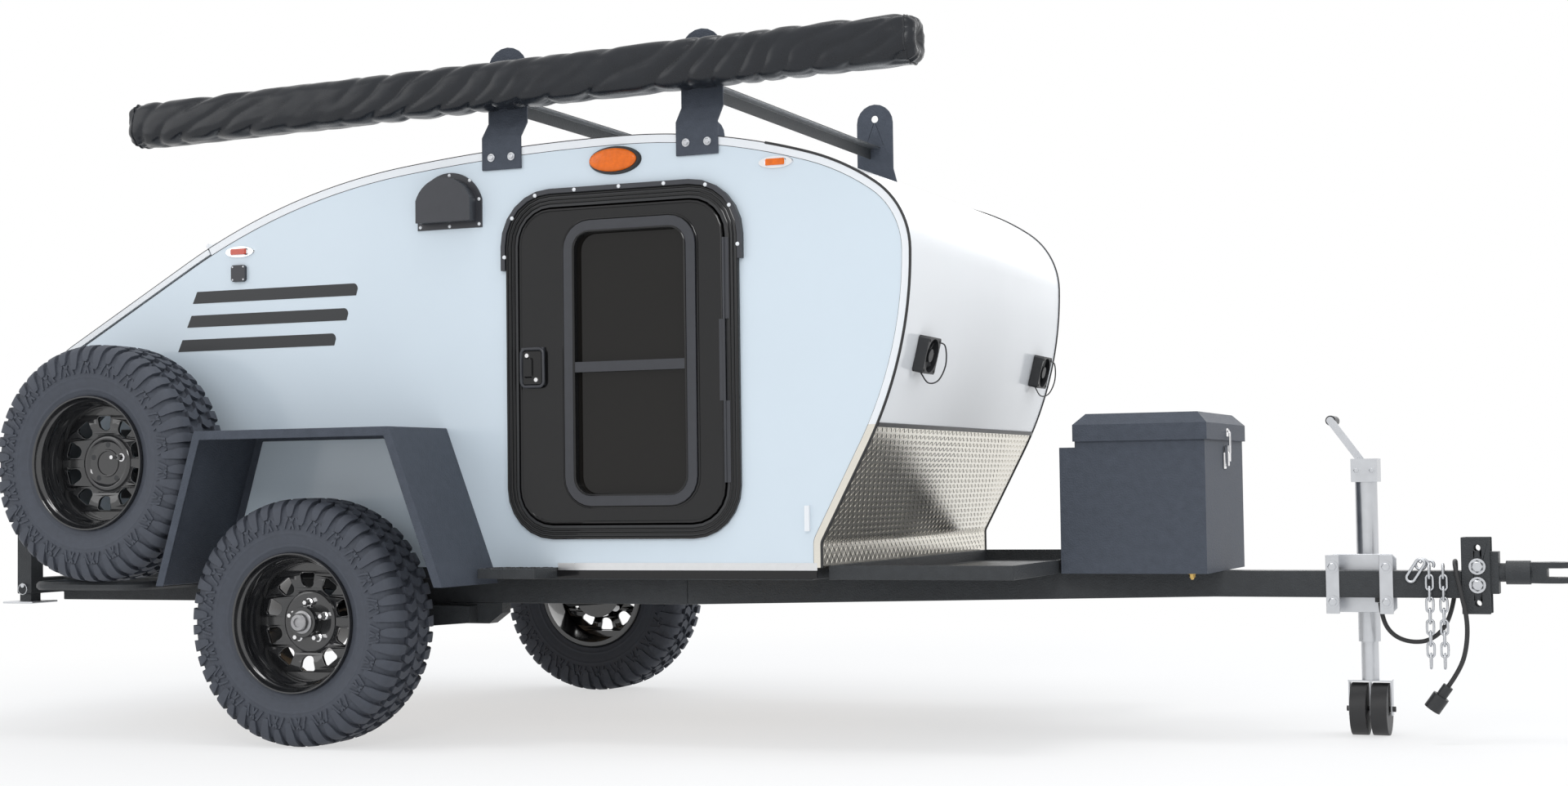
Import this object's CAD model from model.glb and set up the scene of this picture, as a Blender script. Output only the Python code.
from math import ceil, cos, hypot, pi, radians, sin

import bmesh
import bpy
from mathutils import Matrix, Vector, noise


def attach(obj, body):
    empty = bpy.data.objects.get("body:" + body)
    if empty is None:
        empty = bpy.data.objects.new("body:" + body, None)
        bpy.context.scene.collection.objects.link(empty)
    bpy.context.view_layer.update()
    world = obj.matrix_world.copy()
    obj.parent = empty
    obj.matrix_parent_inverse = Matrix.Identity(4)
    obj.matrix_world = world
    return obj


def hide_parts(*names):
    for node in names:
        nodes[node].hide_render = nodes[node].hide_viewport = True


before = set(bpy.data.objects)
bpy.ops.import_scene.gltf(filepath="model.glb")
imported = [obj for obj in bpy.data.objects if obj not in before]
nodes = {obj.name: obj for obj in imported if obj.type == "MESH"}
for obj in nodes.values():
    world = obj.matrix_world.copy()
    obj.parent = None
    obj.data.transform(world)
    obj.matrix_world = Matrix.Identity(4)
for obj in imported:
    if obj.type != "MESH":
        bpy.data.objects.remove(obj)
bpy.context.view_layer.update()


def ahead(d):
    """X in metres of a place d millimetres ahead of the axle."""
    return d / 1000 - 1.1225


# Materials

def ramp(tree, value, low, high):
    """Maps a 0 to 1 node output onto a range."""
    node = tree.nodes.new("ShaderNodeMapRange")
    node.inputs["To Min"].default_value = low
    node.inputs["To Max"].default_value = high
    tree.links.new(value, node.inputs["Value"])
    return node.outputs["Result"]


def material(name, colour, rough, metal=0.0, vary=0.12, grain=40.0, bump=0.0, bump_scale=600.0, cells=False,
             coat=0.0, spread=0.06, spec=0.5):
    """A procedural finish: clouded colour and roughness, and a fine bump from noise or cells."""
    m = bpy.data.materials.new(name)
    m.use_nodes = True
    tree = m.node_tree
    shader = tree.nodes["Principled BSDF"]
    where = tree.nodes.new("ShaderNodeTexCoord").outputs["Object"]
    cloud = tree.nodes.new("ShaderNodeTexNoise")
    cloud.inputs["Scale"].default_value = grain
    cloud.inputs["Detail"].default_value = 4
    tree.links.new(where, cloud.inputs["Vector"])
    mix = tree.nodes.new("ShaderNodeMix")
    mix.data_type = "RGBA"
    mix.inputs[6].default_value = (*[c * (1 - vary) for c in colour], 1)
    mix.inputs[7].default_value = (*[min(1, c * (1 + vary)) for c in colour], 1)
    tree.links.new(cloud.outputs["Fac"], mix.inputs[0])
    tree.links.new(mix.outputs[2], shader.inputs["Base Color"])
    tree.links.new(ramp(tree, cloud.outputs["Fac"], max(0.02, rough - spread), rough + spread),
                   shader.inputs["Roughness"])
    shader.inputs["Metallic"].default_value = metal
    shader.inputs["Coat Weight"].default_value = coat
    shader.inputs["Coat Roughness"].default_value = 0.06
    shader.inputs["Specular IOR Level"].default_value = spec
    if bump:
        fine = tree.nodes.new("ShaderNodeTexVoronoi" if cells else "ShaderNodeTexNoise")
        fine.inputs["Scale"].default_value = bump_scale
        tree.links.new(where, fine.inputs["Vector"])
        height = tree.nodes.new("ShaderNodeBump")
        height.inputs["Strength"].default_value = bump
        height.inputs["Distance"].default_value = 0.001
        tree.links.new(fine.outputs["Distance" if cells else "Fac"], height.inputs["Height"])
        tree.links.new(height.outputs["Normal"], shader.inputs["Normal"])
    return m


FINISHES = {
    "wall": material("wall_gloss", (0.655, 0.74, 0.805), 0.22, vary=0.02, grain=3, bump=0.02, bump_scale=90,
                     coat=0.3),
    "white": material("white_gloss", (0.83, 0.85, 0.87), 0.2, vary=0.02, grain=3, bump=0.02, bump_scale=90,
                      coat=0.3),
    "plate": material("bright_plate", (0.76, 0.73, 0.66), 0.2, metal=1, vary=0.06, grain=14, bump=0.05),
    "alu": material("bare_aluminium", (0.72, 0.73, 0.74), 0.3, metal=1, vary=0.06, grain=60, bump=0.04),
    "black": material("textured_black", (0.038, 0.041, 0.044), 0.48, vary=0.25, bump=0.9, bump_scale=230,
                      cells=True, spec=0.3),
    "hammer": material("hammertone", (0.071, 0.081, 0.101), 0.5, vary=0.2, bump=0.9, bump_scale=210,
                       cells=True, spec=0.12),
    "gloss": material("gloss_black", (0.009, 0.009, 0.0095), 0.14, vary=0.15, grain=8, spec=0.34, coat=0.12),
    "rim": material("rim_gloss", (0.012, 0.0125, 0.014), 0.13, vary=0.15, grain=8, coat=0.8, spec=0.6),
    "slate": material("slate_satin", (0.036, 0.038, 0.045), 0.34, vary=0.12, bump=0.06, bump_scale=900),
    "satin": material("satin_black", (0.022, 0.023, 0.025), 0.38, vary=0.15, bump=0.08, bump_scale=900),
    "zinc": material("zinc", (0.57, 0.585, 0.61), 0.32, metal=1, vary=0.1, grain=28, bump=0.03,
                     bump_scale=260),
    "chrome": material("chrome", (0.82, 0.82, 0.83), 0.09, metal=1, vary=0.03, spread=0.03),
    "steel": material("dull_steel", (0.36, 0.36, 0.37), 0.36, metal=1, vary=0.2, grain=120),
    "tyre": material("tyre_rubber", (0.057, 0.064, 0.081), 0.7, vary=0.22, grain=55, bump=0.3,
                     bump_scale=700),
    "glass": material("dark_glass", (0.009, 0.008, 0.007), 0.05, vary=0.2, grain=2, spread=0.02, spec=0.3),
    "wood": material("birch_ply", (0.55, 0.40, 0.25), 0.5, vary=0.18, grain=18, bump=0.1),
    "pvc": material("awning_vinyl", (0.009, 0.011, 0.015), 0.28, vary=0.2, grain=25, bump=0.1, bump_scale=900,
                    spec=0.4),
    "amber": material("amber_lens", (0.84, 0.15, 0.004), 0.14, vary=0.3, grain=60, bump=0.7, bump_scale=170,
                      cells=True, coat=0.3, spec=0.3),
    "red": material("red_lens", (0.55, 0.05, 0.02), 0.14, vary=0.18, grain=45, bump=0.3, bump_scale=260,
                    cells=True, coat=0.8),
    "plastic": material("black_plastic", (0.02, 0.021, 0.023), 0.42, vary=0.12, bump=0.15, bump_scale=1200),
    "rubber": material("cable_rubber", (0.02, 0.02, 0.021), 0.5, vary=0.15, bump=0.12, bump_scale=900),
    "brass": material("brass", (0.62, 0.42, 0.14), 0.3, metal=1, vary=0.15),
    "decal": material("stripe_vinyl", (0.02, 0.022, 0.025), 0.35, vary=0.08, bump=0.03),
}
NODE_FINISH = {
    "awning_bag": "pvc", "box_latch": "chrome", "box_lid": "hammer", "tongue_box": "hammer",
    "bulkhead": "wood", "floor": "wood", "galley_counter": "wood", "cable_gland": "plastic",
    "cable_plug": "plastic", "front_guard": "plate", "roof": "white", "hatch": "white",
    "rear_panel": "white", "jack_bracket": "zinc", "jack_caster": "zinc", "jack_leg": "zinc",
    "jack_tube": "zinc", "jack_grip": "plastic", "jack_wheels": "rubber", "safety_chains": "zinc",
    "spare_rim": "rim", "spare_tyre": "tyre", "amber_lamps": "amber", "red_lamps": "red",
    "wall_fittings": "slate", "trailer_cable": "rubber",
    "rack_plates": "hammer", "rack_bars": "black", "front_fans": "plastic", "front_tray": "black",
}
SIDE_FINISH = {
    "tyre": "tyre", "rim": "rim", "wall": "wall", "door": "gloss", "door_frame": "satin", "window": "glass",
    "fender": "hammer", "fan_rotor": "plastic",
}
for side in ("left", "right"):
    for stem, finish in SIDE_FINISH.items():
        NODE_FINISH[f"{stem}_{side}"] = finish
# Widths of softened edges in mm; the other nodes keep sharp ones
BEVELS = {"tongue_box": 3, "box_lid": 3, "rack_plates": 1.5, "coupler_head": 3, "coupler_channel": 2.5,
          "wall_fittings": 5, "chassis": 3, "tongue": 5, "front_tray": 2, "jack_tube": 2.5, "jack_caster": 1,
          "jack_wheels": 5, "jack_bracket": 1.5, "front_fans": 2, "rack_bars": 1, "box_latch": 2,
          "spare_carrier": 2, "roof": 2, "hatch": 2, "rear_panel": 2}
MERGE_SPAN = 0.00002
BEVEL_FROM, SPLIT_FROM = radians(40), radians(28)
for side in ("left", "right"):
    BEVELS.update({f"fender_{side}": 2.5, f"door_frame_{side}": 3.5, f"door_{side}": 3, f"step_{side}": 3,
                   f"stabiliser_{side}": 2, f"suspension_{side}": 5})
for name, obj in nodes.items():
    obj.data.materials.clear()
    obj.data.materials.append(FINISHES[NODE_FINISH.get(name, "black")])
    obj.data.shade_smooth()
    weld = obj.modifiers.new("weld", "WELD")
    weld.merge_threshold = MERGE_SPAN
    if name in BEVELS:
        bevel = obj.modifiers.new("soft_edges", "BEVEL")
        bevel.width = BEVELS[name] / 1000
        bevel.segments = 2
        bevel.limit_method = "ANGLE"
        bevel.angle_limit = BEVEL_FROM
        obj.modifiers.new("even_shading", "WEIGHTED_NORMAL")
    else:
        obj.modifiers.new("sharp_edges", "EDGE_SPLIT").split_angle = SPLIT_FROM


def paint(node, finish, inside):
    """Gives the faces of a node that pass a test another finish."""
    mesh = nodes[node].data
    mesh.materials.append(FINISHES[finish])
    for face in mesh.polygons:
        if inside(face.center, face.normal):
            face.material_index = len(mesh.materials) - 1


# Legs below their sleeves, window frames and drip caps proud of the doors, undersides of the rack bars
SLEEVE_FOOT, PANE_OUT, DRIP_OUT, BARS_FOOT = 0.412, 0.7752, 0.7735, 1.9
for side in ("left", "right"):
    paint(f"stabiliser_{side}", "zinc", lambda p, n: p.z < SLEEVE_FOOT)
    paint(f"door_{side}", "slate", lambda p, n: abs(p.y) > PANE_OUT)
    paint(f"door_frame_{side}", "slate", lambda p, n: abs(p.y) > DRIP_OUT)
paint("rack_bars", "alu", lambda p, n: n.z < -0.5 and p.z > BARS_FOOT)


# Mesh helpers

class Build:
    """Collects vertices and faces of one piece."""

    def __init__(self):
        self.verts = []
        self.faces = []

    def grid(self, rows, closed=False, rings=False):
        """Quads over rows of points; closed joins each row's ends, rings joins the last row to the first."""
        base, width = len(self.verts), len(rows[0])
        for row in rows:
            self.verts.extend(row)
        last = len(rows) if rings else len(rows) - 1
        for i in range(last):
            a, b = base + i * width, base + (i + 1) % len(rows) * width
            for j in range(width if closed else width - 1):
                k = (j + 1) % width
                self.faces.append((a + j, a + k, b + k, b + j))

    def loop(self, points, flip=False):
        """One face over a ring of points."""
        base = len(self.verts)
        self.verts.extend(points)
        ring = list(range(base, base + len(points)))
        self.faces.append(ring[::-1] if flip else ring)

    def prism(self, low, high):
        """A closed solid between two matching rings of points."""
        self.grid([low, high], closed=True)
        self.loop(low, flip=True)
        self.loop(high)

    def tube(self, points, radius, sides=10, closed=False):
        """A round bar along points."""
        points = [Vector(p) for p in points]
        count = len(points)
        rows = []
        up = None
        for i, p in enumerate(points):
            before = points[i - 1] if i or closed else p
            after = points[(i + 1) % count] if i < count - 1 or closed else p
            way = (after - before).normalized()
            if up is None:
                up = way.orthogonal().normalized()
            up = (up - way * up.dot(way)).normalized()
            side = way.cross(up)
            rows.append([p + (up * cos(2 * pi * k / sides) + side * sin(2 * pi * k / sides)) * radius
                         for k in range(sides)])
        self.grid(rows, closed=True, rings=closed)
        if not closed:
            self.loop(rows[0], flip=True)
            self.loop(rows[-1])

    def lathe(self, profile, place, count=64):
        """Turns (radius, along) points round the Z axis of a placing matrix."""
        rows = [[place @ Vector((r * cos(2 * pi * k / count), r * sin(2 * pi * k / count), z))
                 for r, z in profile] for k in range(count)]
        self.grid(rows, rings=True)

    def finish(self, name, finish, body, replaces=(), angle=32, bevel=0.0):
        """Makes the object, gives it its finish and shading, and lets it ride on its body."""
        mesh = bpy.data.meshes.new(name)
        mesh.from_pydata([tuple(v) for v in self.verts], [], self.faces)
        mesh.validate()
        work = bmesh.new()
        work.from_mesh(mesh)
        bmesh.ops.recalc_face_normals(work, faces=work.faces)
        work.to_mesh(mesh)
        work.free()
        obj = bpy.data.objects.new(name, mesh)
        bpy.context.collection.objects.link(obj)
        mesh.materials.append(FINISHES[finish])
        mesh.shade_smooth()
        mesh.set_sharp_from_angle(angle=radians(angle))
        if bevel:
            soft = obj.modifiers.new("soft_edges", "BEVEL")
            soft.width = bevel
            soft.segments = 2
            soft.limit_method = "ANGLE"
            soft.angle_limit = radians(35)
        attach(obj, body)
        if replaces:
            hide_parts(*replaces)


def basis(origin, z_dir, x_hint=(1, 0, 0)):
    """A placing matrix with its Z along z_dir and its X near x_hint."""
    z = Vector(z_dir).normalized()
    x = Vector(x_hint)
    x = (x - z * x.dot(z)).normalized()
    y = z.cross(x)
    return Matrix(((x.x, y.x, z.x, origin[0]), (x.y, y.y, z.y, origin[1]), (x.z, y.z, z.z, origin[2]),
                   (0, 0, 0, 1)))


def rounded(width, height, radius, steps=6):
    """Points of a rounded rectangle about the origin."""
    points = []
    for k in range(4):
        cx = (width / 2 - radius) * (1 if k in (0, 3) else -1)
        cy = (height / 2 - radius) * (1 if k in (0, 1) else -1)
        for i in range(steps + 1):
            a = pi / 2 * (k + i / steps)
            points.append((cx + radius * cos(a), cy + radius * sin(a)))
    return points


def ellipse(wide, tall, count=40):
    """Points of an ellipse about the origin."""
    return [(wide / 2 * cos(2 * pi * i / count), tall / 2 * sin(2 * pi * i / count)) for i in range(count)]


def shifted(place, x, y, z):
    """A place moved along its own axes."""
    return place @ Matrix.Translation((x, y, z))


def circle(radius, count):
    """Points of a circle about the origin; six make a hexagon."""
    return ellipse(2 * radius, 2 * radius, count)


def slab(build, place, outline, low, high, shrink=1.0):
    """A prism of a 2-D outline between two heights of a placing matrix."""
    build.prism([place @ Vector((x, y, low)) for x, y in outline],
                [place @ Vector((x * shrink, y * shrink, high)) for x, y in outline])


def bolt_head(build, place, radius, height):
    """A hexagon head with a chamfered top on a washer."""
    washer, chamfer = height * 0.2, height * 0.8
    slab(build, place, circle(radius * 1.45, 20), 0, washer)
    slab(build, place, circle(radius, 6), washer, chamfer)
    slab(build, place, circle(radius, 6), chamfer, height, shrink=0.8)


def washer_bolt(build, place, wide, thick, radius, height):
    """A bolt head on a plain washer."""
    slab(build, place, ellipse(wide, wide), 0.0, thick)
    bolt_head(build, shifted(place, 0, 0, thick), radius, height)


def dome(build, place, radius, height):
    """A round button head."""
    profile = [(radius * cos(a), height * sin(a)) for a in (pi / 2 * i / 5 for i in range(5))]
    build.lathe([(radius, -0.001)] + profile + [(radius * 0.02, height)], place, 14)


# Body outline in (X, Z) from the front foot over the roof to the tail: a run, then a bend's radius and turn
OUTLINE = [(64, 30, -27.9), (290, 1170, 27.9), (0, 235, 55), (0, 700, 18), (0, 2010, 17), (0, 6500, 6.6),
           (0, 2200, 19.5), (0, 2200, 2.4), (520, 300, 72.2)]
BODY_FRONT, BODY_Z = 1560, 520


def outline(inset, step):
    """Points along the body outline moved inward by inset, with outward normals, in metres."""
    x, z, heading = ahead(BODY_FRONT) - inset, BODY_Z / 1000, radians(90)
    points = [((x, z), (1, 0))]

    def note():
        points.append(((x, z), (sin(heading), -cos(heading))))

    for run, radius, turn in OUTLINE:
        length = run / 1000
        for _ in range(ceil(length / step)):
            x += length / ceil(length / step) * cos(heading)
            z += length / ceil(length / step) * sin(heading)
            note()
        side = 1 if turn > 0 else -1
        bent = (radius / 1000 - side * inset) * side
        parts = max(4, ceil(abs(bent * radians(turn)) / step))
        for _ in range(parts):
            x, z = x - bent * sin(heading), z + bent * cos(heading)
            heading += radians(turn) / parts
            x, z = x + bent * sin(heading), z - bent * cos(heading)
            note()
    drop = z - BODY_Z / 1000
    parts = ceil(drop / step)
    for _ in range(parts):
        x -= drop / parts * cos(heading) / sin(heading)
        z -= drop / parts
        note()
    return points


SIDES = (("right", -1), ("left", 1))
WALL = 0.762
AXLE_Z = 0.3665

# Tyres: carcass with raised rings, shoulder lugs that wrap on to the sidewall, centre blocks, side chevrons
SECTION = [(0.0, 0.3535), (0.06, 0.353), (0.086, 0.3505), (0.1, 0.3425), (0.1085, 0.328), (0.115, 0.31),
           (0.1175, 0.292), (0.1165, 0.272), (0.1125, 0.25), (0.107, 0.23), (0.1035, 0.216), (0.102, 0.2085)]
SPANS = [0.0]
for (v0, r0), (v1, r1) in zip(SECTION, SECTION[1:]):
    SPANS.append(SPANS[-1] + hypot(v1 - v0, r1 - r0))


def on_section(s):
    """Point (across, radius) and outward normal at a distance s along half the tyre's section."""
    i = max(k for k in range(len(SPANS) - 1) if SPANS[k] <= s + 1e-9)
    t = (s - SPANS[i]) / (SPANS[i + 1] - SPANS[i])
    (v0, r0), (v1, r1) = SECTION[i], SECTION[i + 1]
    length = hypot(v1 - v0, r1 - r0)
    return v0 + (v1 - v0) * t, r0 + (r1 - r0) * t, -(r1 - r0) / length, (v1 - v0) / length


def border(rows):
    """The points round the edge of a grid of rows, in order."""
    return rows[0] + [row[-1] for row in rows[1:]] + rows[-1][-2::-1] + [row[0] for row in rows[-2:0:-1]]


LUGS = 46
LUG_SCALE = 36 / LUGS
LUG_ROOT = -0.003
TREAD_R = 0.36
RINGS, RING_W, RING_H = (0.300, 0.262, 0.226), 0.0022, 0.0014
# Where a shoulder lug ends along the section, and half its width
LONG_LUG, SHORT_LUG = (0.158, 0.0215), (0.137, 0.0185)
BLOCK = [(0.004, -0.008, 0.028, 0.013), (0.02, -0.022, 0.015, 0.013), (0.032, -0.024, 0.006, 0.013),
         (0.05, -0.012, 0.012, 0.0128)]
CHEVRON = [(0.139, 0.002), (0.150, 0.009), (0.161, 0.016), (0.172, 0.022)]
CHEVRON_W, CHEVRON_H = 0.0105, 0.0046


def lug(build, place, side, turn, rows):
    """A raised block: rows of distance along the section, left and right edge round the tread, height."""
    top, low = [], []
    for s, left, right, high in rows:
        v, r, nv, nr = on_section(s)
        line_top, line_low = [], []
        for k in range(4):
            angle = turn + (left + (right - left) * k / 3) / TREAD_R
            for line, lift in ((line_top, high), (line_low, LUG_ROOT)):
                rr, vv = r + nr * lift, v + nv * lift
                line.append(place @ Vector((rr * cos(angle), rr * sin(angle), side * vv)))
        top.append(line_top)
        low.append(line_low)
    if side < 0:
        top, low = [t[::-1] for t in top], [t[::-1] for t in low]
    build.grid(top)
    build.grid([border(low), border(top)], closed=True)


def tyre(name, place, body, node):
    """One mud tyre about the Z axis of a placing matrix."""
    build = Build()
    profile = [(r, v) for v, r in SECTION]
    ridged = []
    for (r0, v0), (r1, v1) in zip(profile, profile[1:]):
        parts = 5 if r0 < 0.33 else 2
        for k in range(parts):
            r, v = r0 + (r1 - r0) * k / parts, v0 + (v1 - v0) * k / parts
            lift = RING_H * sum(1 for ring in RINGS if abs(r - ring) < RING_W)
            ridged.append((r, v + lift))
    ridged += [profile[-1], (0.2, 0.092)]
    build.lathe(ridged[::-1] + [(r, -v) for r, v in ridged[1:]], place, 144)
    for side in (-1, 1):
        for i in range(LUGS):
            turn = 2 * pi * (i + (0.5 if side > 0 else 0)) / LUGS
            long = i % 2 == 0
            end, w = LONG_LUG if long else SHORT_LUG
            w *= LUG_SCALE
            lug(build, place, side, turn,
                [(0.056, -w * 0.8, w * 0.7, 0.0128), (0.074, -w, w * 0.85, 0.0128), (0.09, -w, w, 0.0122),
                 (0.104, -w, w, 0.0105), (0.118, -w * 0.95, w * 0.9, 0.0085),
                 (end - 0.008, -w * 0.9, w * 0.55, 0.007), (end, -w * 0.55, w * 0.35, 0.0055)])
            lug(build, place, side, turn + pi / LUGS * 0.95,
                [(at, left * LUG_SCALE, right * LUG_SCALE, high) for at, left, right, high in BLOCK])
            for way in (-1, 1):
                rows = []
                for at, off in CHEVRON:
                    edges = sorted((way * off * LUG_SCALE, way * (off + CHEVRON_W) * LUG_SCALE))
                    rows.append((at, *edges, CHEVRON_H))
                lug(build, place, side, turn + (pi / LUGS if long else 0), rows)
    build.finish(name, "tyre", body, [node], angle=30)


# Wheels: stepped barrel, disc with D windows, centre, nuts
def window_points():
    """A D window about the origin: X outward along the radius, Y round the wheel."""
    points = []
    corners = [(0.0235, 0.0265, 0.010), (-0.0235, 0.0225, 0.019), (-0.0235, -0.0225, 0.019),
               (0.0235, -0.0265, 0.010)]
    for k, (x, y, r) in enumerate(corners):
        cx, cy = x - r * (1 if x > 0 else -1), y - r * (1 if y > 0 else -1)
        for i in range(6):
            a = pi / 2 * (k + i / 5)
            points.append((cx + r * cos(a), cy + r * sin(a)))
    return points


# Turned profiles as (radius, along)
BARREL = [(0.186, -0.112), (0.2, -0.112), (0.2045, -0.108), (0.2075, -0.102), (0.203, -0.1), (0.1955, -0.094),
          (0.1955, 0.094), (0.203, 0.1), (0.2075, 0.103), (0.2078, 0.111), (0.2055, 0.1148), (0.2015, 0.1148),
          (0.199, 0.111), (0.1965, 0.1), (0.1925, 0.096), (0.1885, 0.09), (0.187, 0.07), (0.1855, 0.06),
          (0.1795, 0.052), (0.1745, 0.04), (0.1735, 0.024), (0.1745, 0.012), (0.1755, 0.0), (0.178, -0.02),
          (0.186, -0.06), (0.186, -0.112)]
SPARE_CENTRE = [(0.0, 0.0105), (0.036, 0.0105), (0.0375, 0.0135), (0.042, 0.0138), (0.0435, 0.011),
                (0.066, 0.0105), (0.070, 0.0135), (0.074, 0.0185), (0.080, 0.0195), (0.087, 0.0165),
                (0.0925, 0.0085)]
ROAD_CENTRE = [(0.0925, 0.0085), (0.0885, 0.0155), (0.082, 0.0175), (0.076, 0.0165), (0.044, 0.0165)]
HUB = [(0.0465, 0.012), (0.0465, 0.05), (0.0445, 0.054), (0.034, 0.0545)]
DRUM = [(0.092, 0.0), (0.096, -0.004), (0.096, -0.062), (0.0, -0.062)]
CAP = [(0.0345, 0.05), (0.0345, 0.058), (0.031, 0.0605), (0.027, 0.061), (0.0265, 0.074), (0.0235, 0.0775),
       (0.014, 0.078), (0.013, 0.0735), (0.0, 0.0735)]
DISC_R, CENTRE_R, DISC_Z, DISC_DISH = 0.1735, 0.0905, 0.007, 0.016
WINDOWS, WINDOW_R = 10, 0.124
STUDS, STUD_R, STUD_TURN = 5, 0.05715, 0.3
NUT_R = 0.0108


def rim(name, place, body, node, spare):
    """One steel wheel about the Z axis of a placing matrix, Z towards the outside."""
    build = Build()
    build.lathe(BARREL, place, 96)
    disc = bpy.data.curves.new(name + "_disc", "CURVE")
    disc.dimensions = "2D"
    disc.fill_mode = "BOTH"
    disc.extrude = 0.0035
    disc.bevel_depth = 0.0018
    disc.bevel_resolution = 2
    loops = [circle(r, 96) for r in (DISC_R, CENTRE_R)]
    for k in range(WINDOWS):
        a = 2 * pi * (k + 0.5) / WINDOWS
        loops.append([((WINDOW_R + x) * cos(a) - y * sin(a), (WINDOW_R + x) * sin(a) + y * cos(a))
                      for x, y in window_points()])
    for points in loops:
        spline = disc.splines.new("POLY")
        spline.points.add(len(points) - 1)
        for point, (x, y) in zip(spline.points, points):
            point.co = (x, y, 0, 1)
        spline.use_cyclic_u = True
    temp = bpy.data.objects.new(name + "_disc", disc)
    mesh = bpy.data.meshes.new_from_object(temp)
    bpy.data.objects.remove(temp)
    base = len(build.verts)
    for v in mesh.vertices:
        share = (hypot(v.co.x, v.co.y) - CENTRE_R) / (DISC_R - CENTRE_R)
        lift = DISC_Z + DISC_DISH * sin(pi * min(1, max(0, share)))
        build.verts.append(place @ (v.co + Vector((0, 0, lift))))
    build.faces.extend([base + i for i in p.vertices] for p in mesh.polygons)
    build.lathe(SPARE_CENTRE if spare else ROAD_CENTRE, place, 64)
    if not spare:
        build.lathe(HUB, place, 48)
        build.lathe(DRUM, place, 48)
    build.finish(name, "rim", body, [node], angle=34)
    nuts = Build()
    holes = Build()
    for k in range(STUDS):
        a = 2 * pi * k / STUDS + STUD_TURN
        spot = shifted(place, STUD_R * cos(a), STUD_R * sin(a), 0.0105 if spare else 0.0165)
        if spare and k:
            slab(holes, spot, circle(0.0085, 20), -0.001, 0.0006)
            continue
        slab(nuts, spot, circle(0.0125, 24), 0, 0.004)
        slab(nuts, spot, circle(NUT_R, 6), 0.004, 0.022)
        slab(nuts, spot, circle(NUT_R, 6), 0.022, 0.027, shrink=0.62)
        if spare:
            slab(nuts, spot, circle(0.006, 16), 0.02, 0.052)
    nuts.finish(name + "_nuts", "chrome", body, angle=30)
    if spare:
        holes.finish(name + "_holes", "decal", body)
    else:
        cap = Build()
        cap.lathe(CAP, place, 40)
        cap.finish(name + "_cap", "steel", body)


PLACES = [
    ("right", basis((ahead(0), -0.952, AXLE_Z), (0, -1, 0)), "wheel_right", "tyre_right", "rim_right", False),
    ("left", basis((ahead(0), 0.952, AXLE_Z), (0, 1, 0)), "wheel_left", "tyre_left", "rim_left", False),
    ("spare", basis((ahead(-745), -0.953, 0.849), (0, -1, 0)), "trailer", "spare_tyre", "spare_rim", True),
]
for label, place, body, tyre_node, rim_node, spare in PLACES:
    tyre(f"mud_tyre_{label}", place, body, tyre_node)
    rim(f"wheel_rim_{label}", place, body, rim_node, spare)


# Awning: a vinyl bag twisted into slanting folds, gathered at both ends
BAG_REAR, BAG_FRONT = Vector((ahead(-760), -0.7963, 1.924)), Vector((ahead(1880), -0.7963, 1.977))
BAG_ROWS, BAG_RING = 480, 72
BAG_W, BAG_H, BAG_POWER = 0.0625, 0.0705, 3.4
FOLDS, FOLD_SLANT = 58, 92
FOLD_DEPTH, WRINKLE_DEPTH, GATHER_DEPTH = 0.0105, 0.0022, 0.006


def awning():
    """The bag and a line of piping near each end."""
    along = (BAG_FRONT - BAG_REAR).normalized()
    across = Vector((0, 1, 0))
    up = across.cross(along) * -1
    length = (BAG_FRONT - BAG_REAR).length
    rows = []
    for i in range(BAG_ROWS + 1):
        s = i / BAG_ROWS * length
        end = min(s, length - s)
        pinch = 1 - 0.2 * max(0, 1 - end / 0.03) ** 2
        row = []
        for k in range(BAG_RING):
            a = 2 * pi * k / BAG_RING
            c, d = cos(a), sin(a)
            shape = (abs(c) ** BAG_POWER + abs(d) ** BAG_POWER) ** (-1 / BAG_POWER)
            y, z = BAG_W * c * shape, BAG_H * d * shape
            warp = noise.noise(Vector((s * 2.4, z * 3, 3.1))) * 3.2
            twist = s * FOLDS + (-z * FOLD_SLANT if c < 0 else z * FOLD_SLANT) + warp * 3.4
            fold = abs(sin(twist * 0.5 + noise.noise(Vector((s * 5, z * 14, 0.4)))))
            strong = min(1, max(0.08, 0.5 + 1.1 * noise.noise(Vector((s * 2.3, z * 7, c)))))
            depth = FOLD_DEPTH * strong * (1 - fold) ** 1.6
            depth += WRINKLE_DEPTH * noise.noise(Vector((s * 16, y * 40, z * 40)))
            depth += GATHER_DEPTH * max(0, 1 - end / 0.09) * (0.5 + 0.5 * sin(9 * a + 2.2 * sin(3 * a)))
            size = (1 - depth / 0.066) * pinch
            row.append(BAG_REAR + along * s + across * y * size + up * z * size)
        rows.append(row)
    build = Build()
    build.grid(rows, closed=True)
    for row, way in ((rows[0], -1), (rows[-1], 1)):
        middle = sum(row, Vector()) / BAG_RING
        rings = [row]
        for share, out in ((0.86, 0.004), (0.6, 0.002), (0.25, -0.006), (0.04, -0.008)):
            rings.append([middle + (p - middle) * share * (1 + 0.06 * sin(k * 9 * 2 * pi / BAG_RING))
                          + along * way * out for k, p in enumerate(row)])
        if way < 0:
            rings = [r[::-1] for r in rings]
        build.grid(rings, closed=True)
        build.loop(rings[-1])
    build.finish("awning_vinyl", "pvc", "trailer", ["awning_bag"], angle=70)
    piping = Build()
    for row in (rows[4], rows[-5]):
        middle = sum(row, Vector()) / BAG_RING
        piping.tube([p + (p - middle).normalized() * 0.0008 for p in row], 0.0028, 6, closed=True)
    piping.finish("awning_piping", "pvc", "trailer")


awning()


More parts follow.
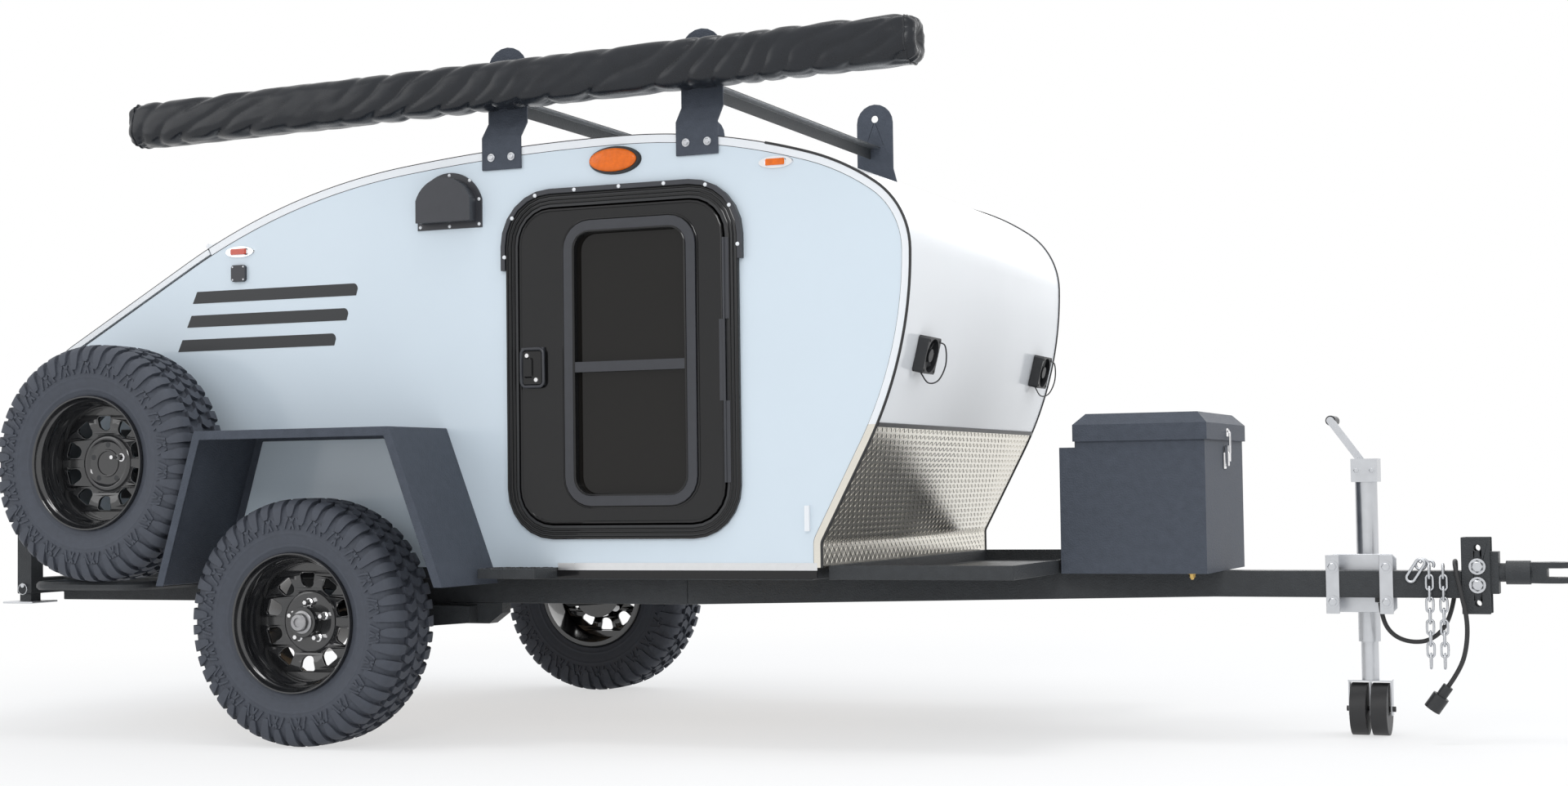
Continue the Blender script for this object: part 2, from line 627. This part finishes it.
# Free trailer cord along its route
ROUTE = [(2975, 14, 392), (2979, 18, 342), (3006, 28, 298), (3052, 40, 278), (3106, 48, 282),
         (3152, 51, 322), (3178, 51, 404), (3184, 50, 512), (3188, -50, 512), (3204, -56, 430),
         (3222, -62, 352), (3219, -64, 276), (3200, -64, 212), (3166, -64, 164)]
CORD_R = 0.0065
cord_curve = bpy.data.curves.new("trailer_cord", "CURVE")
cord_curve.dimensions = "3D"
line = cord_curve.splines.new("NURBS")
line.points.add(len(ROUTE) - 1)
for point, (d, y, z) in zip(line.points, ROUTE):
    point.co = (ahead(d), y / 1000, z / 1000, 1)
line.order_u = 3
line.use_endpoint_u = True
line.resolution_u = 10
cord_curve.bevel_depth = CORD_R
cord_curve.bevel_resolution = 5
cord_curve.use_fill_caps = True
cord = bpy.data.objects.new("trailer_cord", cord_curve)
bpy.context.collection.objects.link(cord)
cord_curve.materials.append(FINISHES["rubber"])
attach(cord, "trailer")
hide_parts("trailer_cable")


# Chains: round links in place of the flat ones
CHAINS_AT, CHAIN_Y, CHAIN_TOP = (3120, 3158), -0.0513, 0.485
LINKS, LINK_PITCH, LINK_L, LINK_W, WIRE_R = 9, 0.0315, 0.034, 0.012, 0.0036


def chains():
    """Two hanging chains, each link turned against the last."""
    build = Build()
    half = (LINK_L - LINK_W) / 2
    end_r = LINK_W / 2 + WIRE_R
    up = Vector((0, 0, 1))
    for at in CHAINS_AT:
        for i in range(LINKS):
            centre = Vector((ahead(at), CHAIN_Y, CHAIN_TOP - i * LINK_PITCH))
            side = Vector((1, 0, 0)) if i % 2 else Vector((0, 1, 0))
            path = []
            for k in range(20):
                a = 2 * pi * k / 20
                lift = half if sin(a) > 1e-6 else -half if sin(a) < -1e-6 else 0
                path.append(centre + side * end_r * cos(a) + up * (end_r * sin(a) + lift))
            build.tube(path, WIRE_R, 8, closed=True)
    build.finish("chain_links", "zinc", "trailer", ["safety_chains"], angle=60)


chains()


# Trim, screws, lamps and tread marks on the body

def on_side(build, side, points, low, high):
    """A flat piece on the outer face of a wall, points as (mm ahead of the axle, height)."""
    faces = [[Vector((ahead(d), side * (WALL + out), z)) for d, z in points] for out in (low, high)]
    build.prism(*faces)


def side_place(side, d, z, out=0.0):
    """A place on a wall: Z outward, X forward on the right side."""
    return basis((ahead(d), side * (WALL + out), z), (0, side, 0), (-side, 0, 0))


def side_loop(wide, tall, corner, d, z, side, out):
    """Points of a rounded rectangle on a wall."""
    place = side_place(side, d, z, out)
    return [place @ Vector((x, y, 0)) for x, y in rounded(wide, tall, corner)]


STRIPES = [(-575, 40, 1.352), (-597, 5, 1.277), (-632, -40, 1.201)]
STRIPE_H = 0.0375
DRIP_SCREWS = [(563, 1.44), (590, 1.555), (668, 1.618), (799, 1.628), (945, 1.629), (1090, 1.628),
               (1222, 1.616), (1296, 1.553), (1321, 1.44)]
VENT_D, VENT_Z = 369, 1.537
VENT_SCREWS = [(-102, 0.010), (-102, 0.085), (-70, 0.143), (0, 0.162), (70, 0.143), (102, 0.085),
               (102, 0.010), (0, 0.008)]
INLET_D, INLET_Z = -395, 1.44
RACK_PLATES, RACK_BOLT_D, RACK_BOLT_Z = (551, 1193), 34, 1.742
SKIN_STEP = 0.02
# Flat strips: piece, finish, rear, front, foot, head, inner and outer face, bevel
STRIPS = [("sill_strips", "alu", 727, 1546, 0.512, 0.533, 0.0, 0.0025, 0.0006),
          ("sill_rails", "gloss", 727, 1546, 0.489, 0.511, -0.0005, 0.0045, 0.002),
          ("door_catches", "white", 1512, 1526, 0.622, 0.694, 0.0, 0.010, 0.002)]
DOOR_AT, PANE_AT, LATCH_AT = (942, 1.112), (975, 1.117), (658, 1.108)
OVAL_AT, AMBER_AT, RED_AT = (924, 1.708), (1436, 1.668), (-394, 1.508)


def stripes():
    """Three dark stripes behind each door, with rounded front ends."""
    build = Build()
    for _, side in SIDES:
        for rear, front, foot in STRIPES:
            head = foot + STRIPE_H
            end = [(front - 14 + 14 * cos(a), foot + 0.020 + 0.0175 * sin(a))
                   for a in (0, 0.4, 0.8, 1.2, pi / 2)]
            shape = [(rear, foot), (front - 6, foot)] + end + [(rear + 17, head)]
            on_side(build, side, shape, 0.0, 0.0008)
    build.finish("side_stripes", "decal", "trailer")


def wall_trim():
    """Seals along the edges of the walls, and flat strips."""
    seal = Build()
    for _, side in SIDES:
        skin = [Vector((x, side * (WALL + 0.0005), z)) for (x, z), _ in outline(0.0005, SKIN_STEP)]
        seal.tube([p for p in skin if p.x <= 0.3], 0.002, 6)
        seal.tube([p for p in skin if p.x >= 0.28], 0.0042, 8)
        inner = outline(0.0245, SKIN_STEP)
        seal.tube([Vector((x, side * (WALL + 0.0002), z)) for (x, z), _ in inner], 0.0011, 6)
    seal.finish("edge_seals", "rubber", "trailer")
    for name, finish, rear, front, foot, head, low, high, bevel in STRIPS:
        strip = Build()
        for _, side in SIDES:
            on_side(strip, side, [(rear, foot), (front, foot), (front, head), (rear, head)], low, high)
        strip.finish(name, finish, "trailer", bevel=bevel)


def screws():
    """Painted screws of drip caps, vents and inlets, and bolts of the rack plates."""
    build = Build()
    for _, side in SIDES:
        for d, z in DRIP_SCREWS:
            dome(build, side_place(side, d, z, 0.0165), 0.0062, 0.004)
        for d, z in VENT_SCREWS:
            dome(build, side_place(side, VENT_D + d, VENT_Z + z, 0.0035), 0.0055, 0.0035)
        for d, z in ((-20, -20), (20, -20), (-20, 20), (20, 20)):
            dome(build, side_place(side, INLET_D + d, INLET_Z + z / 1000, 0.0115), 0.003, 0.002)
    build.finish("white_screws", "white", "trailer")
    bolts = Build()
    for _, side in SIDES:
        for plate in RACK_PLATES:
            for d in (-RACK_BOLT_D, RACK_BOLT_D):
                place = side_place(side, plate + d, RACK_BOLT_Z, 0.008)
                washer_bolt(bolts, place, 0.024, 0.002, 0.0078, 0.006)
    bolts.finish("rack_bolts", "zinc", "trailer", angle=40)


def door_hardware(side, name):
    """Beads round a door and its window, ridges of the frame, and the latch."""
    body = f"door_{name}"
    beads = Build()
    beads.tube(side_loop(0.654, 0.919, 0.100, *DOOR_AT, side, 0.0118), 0.0036, 8, closed=True)
    beads.tube(side_loop(0.435, 0.845, 0.089, *PANE_AT, side, 0.0126), 0.0030, 8, closed=True)
    beads.tube(side_loop(0.361, 0.771, 0.052, *PANE_AT, side, 0.0188), 0.0034, 8, closed=True)
    beads.finish(f"door_beads_{name}", "gloss", body)
    ridges = Build()
    for shrink in (0.010, 0.034, 0.056):
        path = side_loop(0.754 - shrink, 1.019 - shrink, 0.150 - shrink / 2, *DOOR_AT, side, 0.0102)
        ridges.tube(path, 0.0040, 8, closed=True)
    ridges.finish(f"frame_ridges_{name}", "gloss", "trailer")
    latch = Build()
    place = side_place(side, *LATCH_AT, 0.021)
    slab(latch, place, rounded(0.064, 0.102, 0.008), 0.0, 0.0022, 0.95)
    paddle = shifted(place, side * 0.012, 0, 0.0022)
    slab(latch, paddle, rounded(0.030, 0.060, 0.006), 0.0, 0.006, 0.86)
    latch.finish(f"latch_paddle_{name}", "gloss", body, angle=40)
    surround = Build()
    path = [place @ Vector((x, y, 0.001)) for x, y in rounded(0.074, 0.112, 0.016)]
    surround.tube(path, 0.0046, 8, closed=True)
    surround.finish(f"latch_rim_{name}", "slate", body)
    locks = Build()
    for x, z in ((-0.016, 0.036), (0.014, -0.036)):
        lock = shifted(place, -side * x, z, 0.002)
        slab(locks, lock, ellipse(0.015, 0.015), 0.0, 0.0045, 0.82)
    locks.finish(f"latch_locks_{name}", "chrome", body, angle=40)


def lens(build, place, wide, tall, height):
    """A clear domed lamp lens: rings of an ellipse up to its crown."""
    rows = []
    for k in range(7):
        turn = k / 7 * pi / 2
        rows.append([place @ Vector((x * cos(turn), y * cos(turn), height * sin(turn)))
                     for x, y in ellipse(wide, tall)])
    build.grid(rows, closed=True)
    build.loop(rows[-1])
    build.loop(rows[0])


def lamps():
    """Oval side lamps, small marker lamps and round tail lamps."""
    amber = Build()
    red = Build()
    ring = Build()
    chrome = Build()
    for _, side in SIDES:
        place = side_place(side, *OVAL_AT)
        slab(ring, shifted(place, -side * 0.003, 0, 0), ellipse(0.172, 0.084), 0.0, 0.009, 0.94)
        slab(amber, place, ellipse(0.152, 0.068), 0.006, 0.013)
        lens(amber, shifted(place, 0, 0, 0.013), 0.152, 0.068, 0.010)
        for spot, glass in ((AMBER_AT, amber), (RED_AT, red)):
            place = side_place(side, *spot)
            slab(chrome, place, ellipse(0.109, 0.036), 0.0, 0.005, 0.95)
            bezel = shifted(place, 0, 0, 0.005)
            slab(chrome, bezel, rounded(0.066, 0.024, 0.009), 0.0, 0.005, 0.9)
            face = shifted(place, 0, 0, 0.0098)
            slab(glass, face, rounded(0.060, 0.020, 0.005), 0.0, 0.005, 0.88)
        tail = basis((ahead(-1148.2), side * 0.62, 0.63), (-0.98262, 0, -0.18567), (0, 1, 0))
        slab(ring, tail, ellipse(0.108, 0.108), 0.0, 0.009, 0.95)
        slab(red, tail, ellipse(0.094, 0.094), 0.006, 0.012)
        lens(red, shifted(tail, 0, 0, 0.012), 0.094, 0.094, 0.008)
    amber.finish("amber_lenses", "amber", "trailer", replaces=["amber_lamps"], angle=40)
    red.finish("red_lenses", "red", "trailer", replaces=["red_lamps"], angle=40)
    ring.finish("lamp_rings", "rubber", "trailer", angle=40)
    chrome.finish("marker_bezels", "chrome", "trailer", angle=40)


def lozenge(build, place, odd, long, wide, tall):
    """One raised mark of a tread plate, turned the other way where odd."""
    place = place @ Matrix.Rotation(radians(45) * (1 if odd else -1), 4, "Z")
    base = [(-long, 0), (0, -wide), (long, 0), (0, wide)]
    start = len(build.verts)
    build.verts += [place @ Vector((x, y, -0.0004)) for x, y in base]
    build.verts += [place @ Vector((x, 0, tall)) for x in (-long * 0.55, long * 0.55)]
    for face in ((0, 1, 5, 4), (1, 2, 5), (2, 3, 4, 5), (3, 0, 4)):
        build.faces.append(tuple(start + k for k in face))


GUARD_PITCH, GUARD_W, GUARD_FOOT, GUARD_TOP, GUARD_RAIL = 0.0185, 1.50, 0.53, 0.905, 0.918
NOSE_X = 0.2
STEP_ROWS, STEP_COLUMNS = 6, 9


def tread_plates():
    """Marks of the front guard and the steps, and the rail above the guard."""
    guard = Build()
    skin = [(p, n) for p, n in outline(0.0, GUARD_PITCH) if p[0] > NOSE_X and GUARD_FOOT < p[1] < GUARD_TOP]
    for row, ((x, z), (nx, nz)) in enumerate(skin):
        for column in range(int(GUARD_W / GUARD_PITCH)):
            y = -GUARD_W / 2 + (column + 0.5) * GUARD_PITCH
            place = basis((x, y, z), (nx, 0, nz), (0, 1, 0))
            lozenge(guard, place, (row + column) % 2, 0.0115, 0.0030, 0.0011)
    guard.finish("guard_tread", "plate", "trailer", angle=10)
    step = Build()
    for _, side in SIDES:
        for row in range(STEP_ROWS):
            for column in range(STEP_COLUMNS):
                spot = (ahead(546 + column * 21), side * (0.778 + row * 0.0215), 0.520)
                lozenge(step, Matrix.Translation(spot), (row + column) % 2, 0.012, 0.0034, 0.0018)
    step.finish("step_tread", "satin", "trailer", angle=10)
    rail = Build()
    nose = [(p, n) for p, n in outline(0.0, 0.01) if p[0] > NOSE_X]
    (x, z), (nx, nz) = min(nose, key=lambda at: abs(at[0][1] - GUARD_RAIL))
    across = basis((x, 0, z), (nx, 0, nz), (0, 1, 0))
    slab(rail, across, [(-0.76, -0.006), (0.76, -0.006), (0.76, 0.006), (-0.76, 0.006)], -0.001, 0.004)
    rail.finish("guard_rail", "satin", "trailer", bevel=0.001)


stripes()
wall_trim()
screws()
for name, side in SIDES:
    door_hardware(side, name)
lamps()
tread_plates()


# Fittings of the fans, hitch, jack, box and stabilisers

def smooth_line(points, steps=8):
    """A smooth line through points."""
    points = [Vector(p) for p in points]
    ends = [2 * points[0] - points[1]] + points + [2 * points[-1] - points[-2]]
    line = []
    for a, b, c, d in zip(ends, ends[1:], ends[2:], ends[3:]):
        for k in range(steps):
            t = k / steps
            line.append(0.5 * (2 * b + (c - a) * t + (2 * a - 5 * b + 4 * c - d) * t * t
                               + (3 * b - a - 3 * c + d) * t ** 3))
    return line + [points[-1]]


def fan_wires():
    """A wire loop and four screws at each front fan."""
    wire = Build()
    for _, side in SIDES:
        place = basis((0.67824, side * 0.58, 1.12), (0.97056, 0, -0.240861), (0, 1, 0))
        path = [(-0.020, -0.050, 0.014), (0.040, -0.078, 0.024), (0.096, -0.066, 0.034),
                (0.124, -0.018, 0.036), (0.106, 0.034, 0.028), (0.056, 0.040, 0.018)]
        wire.tube([place @ p for p in smooth_line(path)], 0.0022, 8)
        for x, y in ((-0.043, -0.043), (0.043, -0.043), (-0.043, 0.043), (0.043, 0.043)):
            dome(wire, shifted(place, x, y, 0.032), 0.0052, 0.003)
    wire.finish("fan_wires", "rubber", "trailer")


def hitch_hardware():
    """Bolts of coupler and jack straps, snap link and hook of the chains, and the box's drain."""
    zinc = Build()
    for z in (0.446, 0.498):
        for side in (-1, 1):
            place = basis((ahead(3249.5), side * 0.038, z), (0, side, 0), (1, 0, 0))
            washer_bolt(zinc, place, 0.037, 0.0025, 0.0158, 0.0125)
    for d in (2850, 3000):
        for z in (0.397, 0.497):
            place = basis((ahead(d), -0.044, z), (0, -1, 0), (1, 0, 0))
            washer_bolt(zinc, place, 0.028, 0.002, 0.0122, 0.0095)
    snap = basis((ahead(3082), -0.0445, 0.487), (0, -1, 0), (0.55, 0, 0.83))
    zinc.tube([snap @ Vector(((0.024 if cos(a) > 0 else -0.024) + 0.012 * cos(a), 0.012 * sin(a), 0))
               for a in (2 * pi * (k + 0.5) / 24 for k in range(24))], 0.0044, 10, closed=True)
    tie = [(3094, -0.044, 0.509), (3100, -0.040, 0.518), (3110, -0.034, 0.514), (3118, -0.032, 0.503)]
    zinc.tube(smooth_line([(ahead(d), y, z) for d, y, z in tie], 4), 0.0052, 10)
    hook = [(3120 + 11 * cos(a), 0.503 + 0.011 * sin(a)) for a in (-0.7, -0.2, 0.4, 1.0, 1.6, 2.2, 2.7)]
    hook += [(3095 + 14 * cos(a), 0.504 + 0.014 * sin(a))
             for a in (0, -0.6, -1.2, -1.8, -2.4, -3.0, -3.6, -4.1)]
    zinc.tube(smooth_line([(ahead(d), -0.030, z) for d, z in hook], 3), 0.0044, 10)
    zinc.finish("hitch_bolts", "zinc", "trailer", angle=40)
    brass = Build()
    place = basis((ahead(2490), -0.25, 0.4855), (0, 0, -1), (1, 0, 0))
    bolt_head(brass, place, 0.009, 0.012)
    dome(brass, shifted(place, 0, 0, 0.012), 0.006, 0.006)
    brass.finish("box_drain", "brass", "trailer", angle=40)


def jack_hardware():
    """Bolts of the jack's gear head."""
    bolts = Build()
    for d in (2903, 2947):
        place = basis((ahead(d), 0.103, 0.773), (0, -1, 0), (1, 0, 0))
        bolt_head(bolts, place, 0.0075, 0.0045)
    bolts.finish("jack_head_bolts", "zinc", "jack", angle=40)


def box_hardware():
    """Keeper on the box's lid, and the latch's bail and base."""
    keeper = Build()
    place = basis((ahead(2546), 0, 0.890), (1, 0, 0), (0, 1, 0))
    slab(keeper, place, rounded(0.030, 0.024, 0.004), -0.0005, 0.003)
    slab(keeper, shifted(place, 0, 0.004, 0.003), rounded(0.020, 0.008, 0.002), 0.0, 0.004)
    keeper.finish("latch_keeper", "chrome", "box_lid", bevel=0.0006)
    bail = Build()
    front = basis((ahead(2555.5), 0, 0.860), (1, 0, 0), (0, 1, 0))
    bail.tube([front @ Vector((x, y, 0)) for x, y in rounded(0.016, 0.062, 0.005)], 0.0017, 8, closed=True)
    slab(bail, shifted(front, 0, -0.042, -0.004), rounded(0.016, 0.030, 0.003), 0.0, 0.005, 0.9)
    bail.finish("latch_bail", "chrome", "trailer", angle=40)


def stabiliser_pins():
    """A ring pin on each stabiliser's sleeve."""
    pins = Build()
    for _, side in SIDES:
        place = basis((ahead(-1190), side * 0.828, 0.462), (0, side, 0), (1, 0, 0))
        slab(pins, place, ellipse(0.016, 0.016), 0.0, 0.010, 0.9)
        pins.tube([place @ Vector((0.017 * cos(a), 0.017 * sin(a) - 0.012, 0.0085))
                   for a in (2 * pi * k / 24 for k in range(24))], 0.0016, 6, closed=True)
    pins.finish("stabiliser_pins", "zinc", "trailer")


fan_wires()
hitch_hardware()
jack_hardware()
box_hardware()
stabiliser_pins()


# Camera at the photograph's place
CAMERA_AT, YAW, PITCH, ROLL = (2.7483, -6.6094, 0.7472), 0.3923, 0.0418, -0.0134
FOCAL_PX, PHOTO_W, SENSOR = 2746.86, 1920, 36


def camera():
    """The scene's camera."""
    view = Vector((-sin(YAW) * cos(PITCH), cos(YAW) * cos(PITCH), sin(PITCH)))
    level = Vector((cos(YAW), sin(YAW), 0))
    above = level.cross(view)
    right = level * cos(ROLL) + above * sin(ROLL)
    up = above * cos(ROLL) - level * sin(ROLL)
    data = bpy.data.cameras.new("camera")
    data.sensor_width = SENSOR
    data.lens = FOCAL_PX / PHOTO_W * SENSOR
    data.clip_end = 200
    obj = bpy.data.objects.new("camera", data)
    x, y, z = CAMERA_AT
    obj.matrix_world = Matrix(((right.x, up.x, -view.x, x), (right.y, up.y, -view.y, y),
                               (right.z, up.z, -view.z, z), (0, 0, 0, 1)))
    bpy.context.collection.objects.link(obj)
    bpy.context.scene.camera = obj


# Studio: soft lamps, and a pale floor that turns to plain white away from the object
FLOOR_R, FLOOR_SIDES = 60, 64
FADE_FROM, FADE_TO, FADE_LEAST = 2.6, 5.0, 0.62
# Name, place, aim, size and power
LAMPS = [("key", (2.5, -7.5, 5.0), (0, 0, 0.8), 2.2, 105), ("top", (0.5, -1.5, 7.0), (0, 0, 0), 2.6, 110),
         ("fill", (-6.0, -5.0, 3.5), (0, 0, 0.8), 4.0, 45), ("nose", (4.8, 1.0, 6.4), (0.4, 0, 1.0), 4.0, 85),
         ("back", (0.0, 7.0, 4.0), (0, 0, 1.0), 5.0, 80)]


def background_rays(tree):
    """A socket that is 1 where the camera sees the background, directly or in metal and glass."""
    path = tree.nodes.new("ShaderNodeLightPath")
    seen = path.outputs["Is Camera Ray"]
    for ray in ("Is Glossy Ray", "Is Transmission Ray"):
        either = tree.nodes.new("ShaderNodeMath")
        either.operation = "MAXIMUM"
        tree.links.new(seen, either.inputs[0])
        tree.links.new(path.outputs[ray], either.inputs[1])
        seen = either.outputs[0]
    return seen


def mixed(tree, share, first, second, output):
    """Mixes two shaders by a share and links them to a tree's output."""
    mix = tree.nodes.new("ShaderNodeMixShader")
    tree.links.new(share, mix.inputs[0])
    tree.links.new(first.outputs[0], mix.inputs[1])
    tree.links.new(second.outputs[0], mix.inputs[2])
    tree.links.new(mix.outputs[0], tree.nodes[output].inputs["Surface"])


def studio_world():
    """Even light on the object and a white background."""
    world = bpy.data.worlds.new("studio")
    bpy.context.scene.world = world
    world.use_nodes = True
    tree = world.node_tree
    back = tree.nodes["Background"]
    back.inputs["Color"].default_value = (0.93, 0.96, 1, 1)
    back.inputs["Strength"].default_value = 0.82
    white = tree.nodes.new("ShaderNodeBackground")
    white.inputs["Strength"].default_value = 1
    white.inputs["Color"].default_value = (1, 1, 1, 1)
    mixed(tree, background_rays(tree), back, white, "World Output")


def studio_floor():
    """A round floor that keeps the object's shadow."""
    mesh = bpy.data.meshes.new("floor")
    mesh.from_pydata([(x, y, 0) for x, y in circle(FLOOR_R, FLOOR_SIDES)], [], [tuple(range(FLOOR_SIDES))])
    floor = bpy.data.objects.new("studio_floor", mesh)
    bpy.context.collection.objects.link(floor)
    m = bpy.data.materials.new("studio_floor")
    m.use_nodes = True
    tree = m.node_tree
    shader = tree.nodes["Principled BSDF"]
    shader.inputs["Base Color"].default_value = (0.86, 0.86, 0.86, 1)
    shader.inputs["Roughness"].default_value = 0.9
    shader.inputs["Specular IOR Level"].default_value = 0.1
    glow = tree.nodes.new("ShaderNodeEmission")
    glow.inputs["Strength"].default_value = 1
    where = tree.nodes.new("ShaderNodeTexCoord")
    span = tree.nodes.new("ShaderNodeVectorMath")
    span.operation = "LENGTH"
    tree.links.new(where.outputs["Object"], span.inputs[0])
    fade = tree.nodes.new("ShaderNodeMapRange")
    fade.interpolation_type = "SMOOTHSTEP"
    fade.inputs["From Min"].default_value = FADE_FROM
    fade.inputs["From Max"].default_value = FADE_TO
    fade.inputs["To Min"].default_value = FADE_LEAST
    tree.links.new(span.outputs["Value"], fade.inputs["Value"])
    seen = tree.nodes.new("ShaderNodeMath")
    seen.operation = "MULTIPLY"
    tree.links.new(fade.outputs["Result"], seen.inputs[0])
    tree.links.new(background_rays(tree), seen.inputs[1])
    mixed(tree, seen.outputs[0], shader, glow, "Material Output")
    mesh.materials.append(m)


def studio_lamps():
    """Soft area lamps about the object."""
    for name, spot, aim, size, power in LAMPS:
        lamp = bpy.data.lights.new(name, "AREA")
        lamp.size = size
        lamp.energy = power
        obj = bpy.data.objects.new(name, lamp)
        obj.location = spot
        obj.rotation_euler = (Vector(aim) - Vector(spot)).to_track_quat("-Z", "Y").to_euler()
        bpy.context.collection.objects.link(obj)


camera()
bpy.context.scene.view_settings.view_transform = "Standard"
studio_world()
studio_floor()
studio_lamps()
